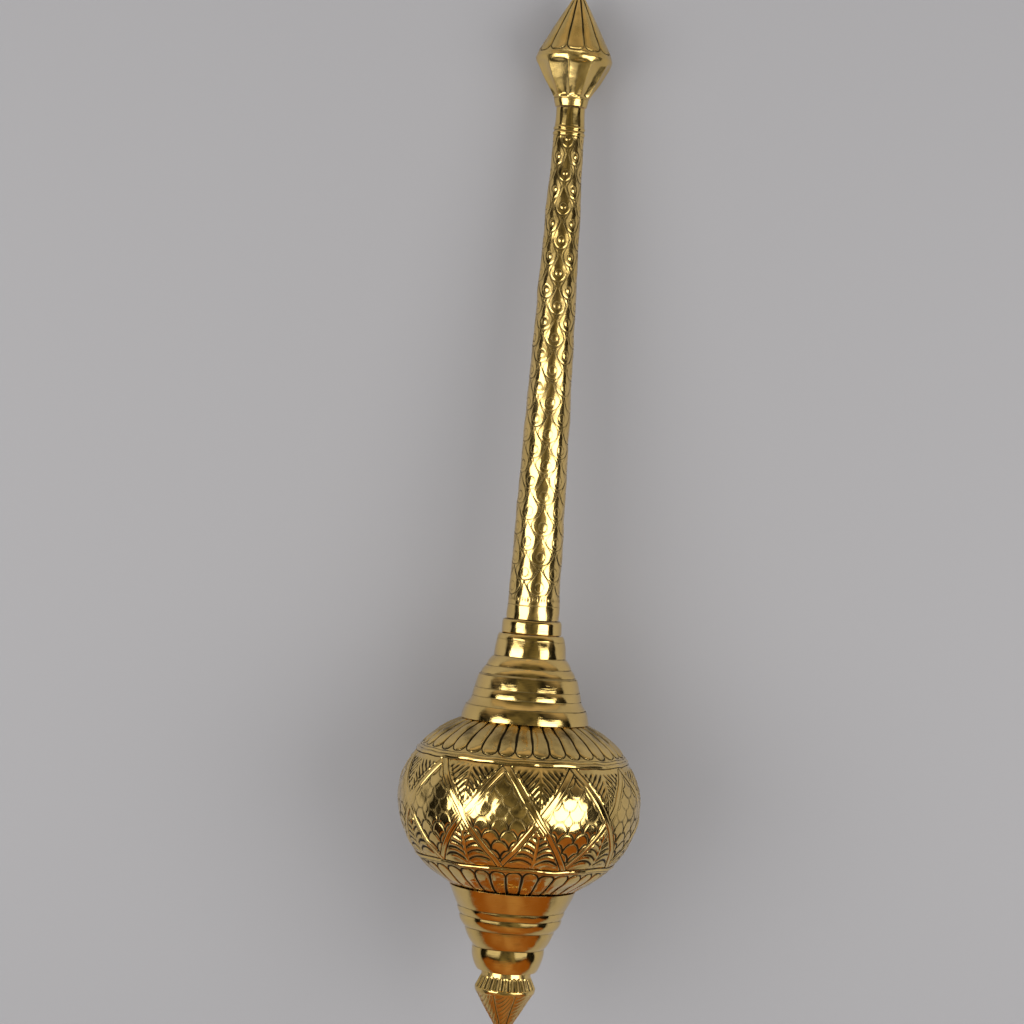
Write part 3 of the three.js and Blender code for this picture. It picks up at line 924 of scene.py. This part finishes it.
def lower_fronds(reach, y, to_strap, half_height):
    """Arched fronds each side of a stalk, under a small pointed arch, with a gable on the lower ridge.
    Its darkening is patina between the fronds, a dark line beside the stalk and a painted shadow inside the
    arch.
    """
    up = half_height - y
    family = (up - 1.1 * reach + 0.045 * reach ** 2) / VEIN_SPACING
    in_fronds = smooth(0.8, 2.2, reach) * smooth(3.0, 4.6, to_strap)
    in_fronds = in_fronds * smooth(2.0 - FROND_LENGTH, 7.0 - FROND_LENGTH, -up) * smooth(3.0, 5.0, up)
    crescent = hump(nearest(family), 0.3) * in_fronds
    between = hump(nearest(family + 0.5), 0.29) * in_fronds
    stalk = hump(reach, 1.0) * stalk_zone(up)
    arch_half = np.clip((y - 4.2) * 0.62, 0.0, 4.3)
    arch = hump(reach - arch_half, 0.95) * smooth(4.2, 5.0, y) * (1.0 - smooth(15.0, 16.5, y))
    inner = hump(reach - np.clip((15.0 - y) * 0.42, 0.0, 3.0), 0.7)
    inner = inner * smooth(8.0, 9.0, y) * (1.0 - smooth(14.5, 16.0, y))
    gable = hump(reach - (6.2 - up) * 1.05, 0.9) * smooth(0.0, 0.8, up) * (1.0 - smooth(6.2, 7.0, up))
    height = 0.55 * crescent + 0.5 * stalk + 0.6 * arch + 0.45 * inner + 0.6 * gable - 0.6 * between
    beside_stalk = hump(reach - 1.7, 0.6) * stalk_zone(up)
    # The soil here holds patina between the fronds, a dark line beside the stalk and a painted shadow just
    # inside the arch.
    soil = 1.15 * between + 0.7 * beside_stalk + 0.5 * arch_shadow(reach, arch_half, y)
    return height, np.clip(soil, 0.0, 1.0)


def stalk_zone(up):
    return smooth(7.0, 10.0, up) * smooth(-FROND_LENGTH, 4.0 - FROND_LENGTH, -up)


# A painted shadow: a dark band just inside the raised arch, added to the patina.
def arch_shadow(reach, arch_half, y):
    return hump(reach - arch_half + 1.5, 0.8) * smooth(6.0, 7.5, y) * (1.0 - smooth(15.0, 16.5, y))


def frieze_sector(sizes, lines):
    """One repeat of the strapwork frieze on a mesh whose lines run along the straps."""
    profile = rounded_rows(head_outline(FRIEZE_FROM, FRIEZE_TO, 200), 600, 0.3, 0.0)
    arc_length = profile.arc[-1]
    between = strap_lines(lines)
    place = lambda k: np.floor_divide(k, lines) + between[np.mod(k, lines)]
    low, diff = np.meshgrid(np.arange(-1, 2 * lines), np.arange(-lines, lines), indexing="ij")
    even = (low - diff) % 2 == 0
    i, j = ((low + diff) // 2)[even], ((low - diff) // 2)[even]
    corners = np.stack([[i, j], [i, j + 1], [i + 1, j + 1], [i + 1, j]])
    sums = corners.sum(axis=1)
    used, index = np.unique(corners.transpose(0, 2, 1).reshape(-1, 2), axis=0, return_inverse=True)
    index = index.reshape(4, -1)
    total = used.sum(axis=1)
    u = 0.5 * (place(used[:, 0]) - place(used[:, 1]))
    v = np.clip(0.5 * (place(used[:, 0]) + place(used[:, 1])), 0.0, 1.0)
    faces = []
    for face, heights in zip(index.T, sums.T):
        kept = [int(c) for c, h in zip(face, heights) if 0 <= h <= 2 * lines]
        if len(kept) >= 3:
            faces.append(kept)
    arc = v * arc_length
    at, radius, lean_at, lean_radius = (np.interp(arc, profile.arc, values) for values in profile[:4])
    height, groove = frieze_relief(sizes, arc_length)(u, v, radius)
    angle = DIAMOND_AT + u * TURN / sizes.diamonds
    at = at + height * lean_at
    radius = radius + height * lean_radius
    points = np.stack([radius * np.sin(angle), radius * np.cos(angle), at], axis=1)
    points = np.vstack([points, [[0.0, 0.0, FRIEZE_FROM], [0.0, 0.0, FRIEZE_TO]]])
    groove = np.append(groove, [0.0, 0.0])
    for edge, pole in ((0, len(points) - 2), (2 * lines, len(points) - 1)):
        rim = np.flatnonzero(total == edge)
        rim = rim[np.argsort(u[rim])]
        for a, b in zip(rim[:-1], rim[1:]):
            faces.append([int(b), int(a), pole] if edge == 0 else [int(a), int(b), pole])
    kept = np.unique(np.concatenate([np.array(f) for f in faces]))
    renumber = np.full(len(points), -1)
    renumber[kept] = np.arange(len(kept))
    return points[kept], [[int(renumber[c]) for c in f] for f in faces], groove[kept]


def make_frieze(context):
    sizes = context.scene.mace_head
    metal = embossed_brass(context.scene.mace_finish)
    piece = ring("head_frieze", frieze_sector(sizes, LINES_PER_STRAP), sizes.diamonds, metal)
    settle_on_head(piece, [(0.10, 15.0, 71), (0.03, 6.0, 72)])


# ---- tip

TIP_FROM = 878.7
TIP_FLUTES_FROM = 882.6
TIP_RIM_AT = 893.5
TIP_RIM_TO = 897.0
TIP_VEIN_SPACING = 4.4
TIP_COLUMNS_PER_FLUTE = 8
TIP_REPEATS = 4


def tip_relief(sizes):
    flute_depth = sizes.flute_depth / MM
    vein_depth = sizes.veins / MM

    def relief(rows, angle):
        flute = nearest(angle * sizes.flutes / TURN)
        on_flutes = smooth(TIP_FLUTES_FROM - 0.5, TIP_FLUTES_FROM + 1.5, rows.at)
        on_flutes = on_flutes * (1.0 - smooth(TIP_RIM_AT - 1.0, TIP_RIM_AT + 0.6, rows.at))
        valley = (1.0 - hump(flute, 0.42)) * on_flutes
        leaf = nearest(angle * sizes.leaves / TURN)
        across = leaf * TURN / sizes.leaves * rows.radius
        half = rows.radius * math.pi / sizes.leaves
        on_point = smooth(TIP_RIM_TO - 0.2, TIP_RIM_TO + 1.6, rows.at) * smooth(-938.5, -930.0, -rows.at)
        edge = hump(half - np.abs(across), 0.8) * on_point
        crown = (1.0 - (across / np.maximum(half, 0.5)) ** 2) * on_point
        midrib = hump(across, 0.7) * on_point
        slant = (rows.at + 1.0 * across + 0.05 * across ** 2) / TIP_VEIN_SPACING
        vein = hump(nearest(slant), 0.28) * smooth(0.8, 2.0, half - np.abs(across)) * on_point
        height = -flute_depth * valley + 0.55 * crown - 0.6 * edge
        height = height - vein_depth * vein + 0.1 * midrib - 0.55 * on_point
        groove = np.clip(0.75 * valley ** 2 + edge + 0.6 * vein, 0.0, 1.0)
        return height, groove

    return relief


def make_tip(context):
    sizes = context.scene.mace_tip
    metal = cast_brass(context.scene.mace_finish)
    outline = [
        (TIP_FROM, 20.5), (TIP_FROM, 22.0), (TIP_FLUTES_FROM, 22.3), (888.0, 24.7),
        (TIP_RIM_AT - 0.6, 27.0), (TIP_RIM_AT + 1.2, 27.3),
        (TIP_RIM_TO, 26.8), (938.0, 1.6), (939.6, 0.9), (LENGTH, 0.0),
    ]
    rows = rounded_rows(outline, 130, 0.3, 0.2)
    columns = sizes.flutes * TIP_COLUMNS_PER_FLUTE // TIP_REPEATS
    quarter = repeat_angles(TIP_REPEATS, columns, -math.pi / sizes.leaves)
    piece = ring("tip", turned_sector(rows, quarter, tip_relief(sizes)), TIP_REPEATS, metal)
    settle(piece, "tip_finial", [(0.07, 9.0, 81), (0.04, 4.0, 82)], 0.2, ["warm_lit"])


# ---- stage

CAMERA_OVER = 470.4
CAMERA_ASIDE = -25.4
CAMERA_ROLL = math.radians(4.28)
LENS = 94.92
SENSOR = 36.0
FLOOR_RADIUS = 7.0
FLOOR_DROP = 0.0002
SKY_OVER_FLOOR = (1.10, 1.10, 1.11, 1.0)
SKY_SEEN = (0.246, 0.242, 0.251, 1.0)
WHITE = (1.0, 0.985, 0.96)
SIDEWAYS = (1.0, 0.0, 0.0)
SIDE_LIGHTS = (
    # part of the softbox, span along the mace, share of the light, the group that it lights or leaves out
    ("", -0.75, 0.50, 0.45, "softboxes_without"),
    ("_gleam", -0.75, 0.50, 0.55, "softboxes_without"),
    ("_end", 0.50, 0.92, 0.06, "shaft_lit"),
    ("_near", -1.7, -0.75, 0.045, "pommel_lit"),
    ("_faint", -0.745, 0.505, 0.08, "faintly_lit"),
)


def aim(thing, place, target, roll_towards):
    """Puts a lamp at place, facing target, with its long side along roll_towards."""
    back = (Vector(place) - Vector(target)).normalized()
    side = Vector(roll_towards).cross(back).normalized()
    up = back.cross(side)
    matrix = Matrix((side, up, back)).transposed().to_4x4()
    matrix.translation = Vector(place)
    thing.matrix_world = matrix


def softbox(name, place, target, width, height, brightness, tint, along=(0.0, 1.0, 0.0), lights_floor=True):
    lamp = bpy.data.lights.new(name, "AREA")
    lamp.shape = "RECTANGLE"
    lamp.size, lamp.size_y = width, height
    lamp.color = tint
    lamp.energy = brightness * math.pi * width * height
    thing = bpy.data.objects.new(name, lamp)
    bpy.context.scene.collection.objects.link(thing)
    aim(thing, place, target, along)
    thing.visible_camera = False
    thing.visible_diffuse = lights_floor
    return thing


def make_camera(stage):
    target = on_axis(CAMERA_OVER, right=CAMERA_ASIDE)
    handlewards = -TIPWARDS
    side = RIGHT * math.cos(CAMERA_ROLL) + handlewards * math.sin(CAMERA_ROLL)
    top = handlewards * math.cos(CAMERA_ROLL) - RIGHT * math.sin(CAMERA_ROLL)
    lens = bpy.data.cameras.new("camera")
    lens.lens = LENS
    lens.sensor_width = SENSOR
    lens.clip_end = 50.0
    camera = bpy.data.objects.new("camera", lens)
    bpy.context.scene.collection.objects.link(camera)
    matrix = Matrix((side, top, UP)).transposed().to_4x4()
    matrix.translation = target + UP * stage.camera_height
    camera.matrix_world = matrix
    bpy.context.scene.camera = camera


def make_surroundings(stage):
    """Pale where the camera looks past the floor, dark and cloudy where brass reflects."""
    world = bpy.data.worlds.new("surroundings")
    bpy.context.scene.world = world
    world.use_nodes = True
    tree = world.node_tree
    tree.nodes.clear()
    rays = linked(tree, "ShaderNodeLightPath").outputs
    towards = linked(tree, "ShaderNodeTexCoord").outputs["Generated"]
    sideways, handlewards, upwards = linked(tree, "ShaderNodeSeparateXYZ", {0: towards}).outputs
    cloudy = map_range(tree, noise_of(tree, towards, 2.6, 4.0), 0.38, 0.66, 0.25, 1.9)
    upward = map_range(tree, upwards, 0.1, 0.85, 0.35, 1.6)
    dim = map_range(tree, maths(tree, "ABSOLUTE", sideways), 0.3, 0.7, 1.0, 0.12, soft=True)
    overhead = scaled(tree, stage.overhead, times(tree, times(tree, cloudy, upward), dim))
    low = map_range(tree, upwards, 0.1, 0.6, 1.0, 0.0, soft=True)
    beyond = map_range(tree, handlewards, 0.2, 0.7, soft=True)
    tan = scaled(tree, stage.tan_colour, times(tree, times(tree, low, beyond), stage.tan_glow))
    reflected = linked(tree, "ShaderNodeVectorMath", {0: overhead, 1: tan}, operation="ADD").outputs[0]
    lit = blend_colour(tree, rays["Is Glossy Ray"], SKY_OVER_FLOOR, reflected)
    seen = blend_colour(tree, rays["Is Camera Ray"], lit, SKY_SEEN)
    background = linked(tree, "ShaderNodeBackground", {"Color": seen, "Strength": 1.0})
    linked(tree, "ShaderNodeOutputWorld", {"Surface": background.outputs[0]})


def flat_sheet(name, corners, material):
    """A flat stage mesh that isn't part of the mace."""
    mesh = bpy.data.meshes.new(name)
    mesh.from_pydata(corners, [], [list(range(len(corners)))])
    mesh.materials.append(material)
    sheet = bpy.data.objects.new(name, mesh)
    bpy.context.scene.collection.objects.link(sheet)
    return sheet


def make_floor(stage):
    paint = bpy.data.materials.new("floor_paint")
    paint.use_nodes = True
    surface = paint.node_tree.nodes["Principled BSDF"]
    surface.inputs["Base Color"].default_value = opaque(stage.floor)
    surface.inputs["Roughness"].default_value = 0.85
    angles = np.linspace(0.0, TURN, 65)[:-1]
    rim = [(FLOOR_RADIUS * math.cos(a), FLOOR_RADIUS * math.sin(a), -FLOOR_DROP) for a in angles]
    flat_sheet("floor", rim, paint)
    glow = bpy.data.materials.new("warm_glow")
    glow.use_nodes = True
    glow.node_tree.nodes.clear()
    strength = {"Color": opaque(stage.warm_colour), "Strength": stage.warm_card}
    emission = linked(glow.node_tree, "ShaderNodeEmission", strength)
    linked(glow.node_tree, "ShaderNodeOutputMaterial", {"Surface": emission.outputs[0]})
    # A glowing sheet beyond the tip, seen only in reflections: a painted warm reflection in the brass, not a
    # lamp.
    corners = [(0.10, -0.52, 0.0), (-0.10, -0.52, 0.0), (-0.5, -3.0, 0.0), (0.5, -3.0, 0.0)]
    ground = flat_sheet("warm_ground", corners, glow)
    for ray in ("camera", "diffuse", "shadow"):
        setattr(ground, "visible_" + ray, False)


def make_lights(stage):
    for side, word in ((-1.0, "left"), (1.0, "right")):
        for part, low, high, share_of, group in SIDE_LIGHTS:
            middle = 0.5 * (low + high)
            place, target = (1.34 * side, middle, 1.48), (0.0, middle - 0.01, 0.08)
            brightness = share_of * stage.softboxes
            name, lights_floor = f"softbox_{word}{part}", part == ""
            lamp = softbox(name, place, target, 1.3, high - low, brightness, WHITE, lights_floor=lights_floor)
            lamp.light_linking.receiver_collection = light_group(group)
    place, target = (0.2, 1.55, 1.5), (0.1, 1.5, 0.1)
    far = softbox("softbox_far", place, target, 0.6, 3.2, 0.4 * stage.softboxes, WHITE, SIDEWAYS, False)
    far.light_linking.receiver_collection = light_group("pommel_lit")
    place, target = (0.0, -1.65, 0.82), (0.0, -0.26, 0.1)
    wall = softbox("warm_wall", place, target, 1.6, 5.0, stage.warm_card, stage.warm_colour, SIDEWAYS, False)
    wall.light_linking.receiver_collection = light_group("warm_lit")


def make_stage(context):
    stage = context.scene.mace_stage
    make_camera(stage)
    make_surroundings(stage)
    make_floor(stage)
    make_lights(stage)
    context.scene.view_settings.view_transform = "Standard"
    context.scene.view_settings.look = "None"


# ---- operators and panel


class MACE_OT_stage(bpy.types.Operator):
    """Sets up the camera, the floor and the lights"""

    bl_idname = "mace.stage"
    bl_label = "Stage"

    def execute(self, context):
        make_stage(context)
        return {"FINISHED"}


class MACE_OT_pommel(bpy.types.Operator):
    """Models the pommel finial with its petals and flutes"""

    bl_idname = "mace.pommel"
    bl_label = "Pommel"

    def execute(self, context):
        make_pommel(context)
        return {"FINISHED"}


class MACE_OT_shaft(bpy.types.Operator):
    """Models the tapering shaft chased with scales"""

    bl_idname = "mace.shaft"
    bl_label = "Shaft"

    def execute(self, context):
        make_shaft(context)
        return {"FINISHED"}


class MACE_OT_cones(bpy.types.Operator):
    """Models the ferrule and the two spun cones"""

    bl_idname = "mace.cones"
    bl_label = "Ferrule and cones"

    def execute(self, context):
        make_cones(context)
        return {"FINISHED"}


class MACE_OT_petal_bands(bpy.types.Operator):
    """Models the two bands of petals on the head"""

    bl_idname = "mace.petal_bands"
    bl_label = "Petal bands"

    def execute(self, context):
        make_petal_bands(context)
        return {"FINISHED"}


class MACE_OT_frieze(bpy.types.Operator):
    """Models the strapwork frieze round the head"""

    bl_idname = "mace.frieze"
    bl_label = "Frieze"

    def execute(self, context):
        make_frieze(context)
        return {"FINISHED"}


class MACE_OT_tip(bpy.types.Operator):
    """Models the tip finial with its flutes and leaves"""

    bl_idname = "mace.tip"
    bl_label = "Tip"

    def execute(self, context):
        make_tip(context)
        return {"FINISHED"}


OPERATORS = (
    MACE_OT_stage,
    MACE_OT_pommel,
    MACE_OT_shaft,
    MACE_OT_cones,
    MACE_OT_petal_bands,
    MACE_OT_frieze,
    MACE_OT_tip,
)

SETTINGS = {
    "mace_stage": MaceStageSettings,
    "mace_finish": MaceFinishSettings,
    "mace_pommel": MacePommelSettings,
    "mace_shaft": MaceShaftSettings,
    "mace_cones": MaceConeSettings,
    "mace_head": MaceHeadSettings,
    "mace_tip": MaceTipSettings,
}


class MACE_PT_panel(bpy.types.Panel):
    """The mace's operators and settings"""

    bl_idname = "MACE_PT_panel"
    bl_label = "Ceremonial mace"
    bl_space_type = "VIEW_3D"
    bl_region_type = "UI"
    bl_category = "Mace"

    def draw(self, context):
        for kind in OPERATORS:
            self.layout.operator(kind.bl_idname)
        for name in SETTINGS:
            box = self.layout.box()
            for key in getattr(context.scene, name).bl_rna.properties.keys():
                if key not in ("rna_type", "name"):
                    box.prop(getattr(context.scene, name), key)


def register():
    for kind in (*SETTINGS.values(), *OPERATORS, MACE_PT_panel):
        bpy.utils.register_class(kind)
    for name, kind in SETTINGS.items():
        setattr(bpy.types.Scene, name, bpy.props.PointerProperty(type=kind))


def unregister():
    for name in SETTINGS:
        delattr(bpy.types.Scene, name)
    for kind in (MACE_PT_panel, *reversed(OPERATORS), *SETTINGS.values()):
        bpy.utils.unregister_class(kind)


def main():
    register()
    for kind in OPERATORS:
        group, name = kind.bl_idname.split(".")
        getattr(getattr(bpy.ops, group), name)()


if __name__ == "__main__":
    main()
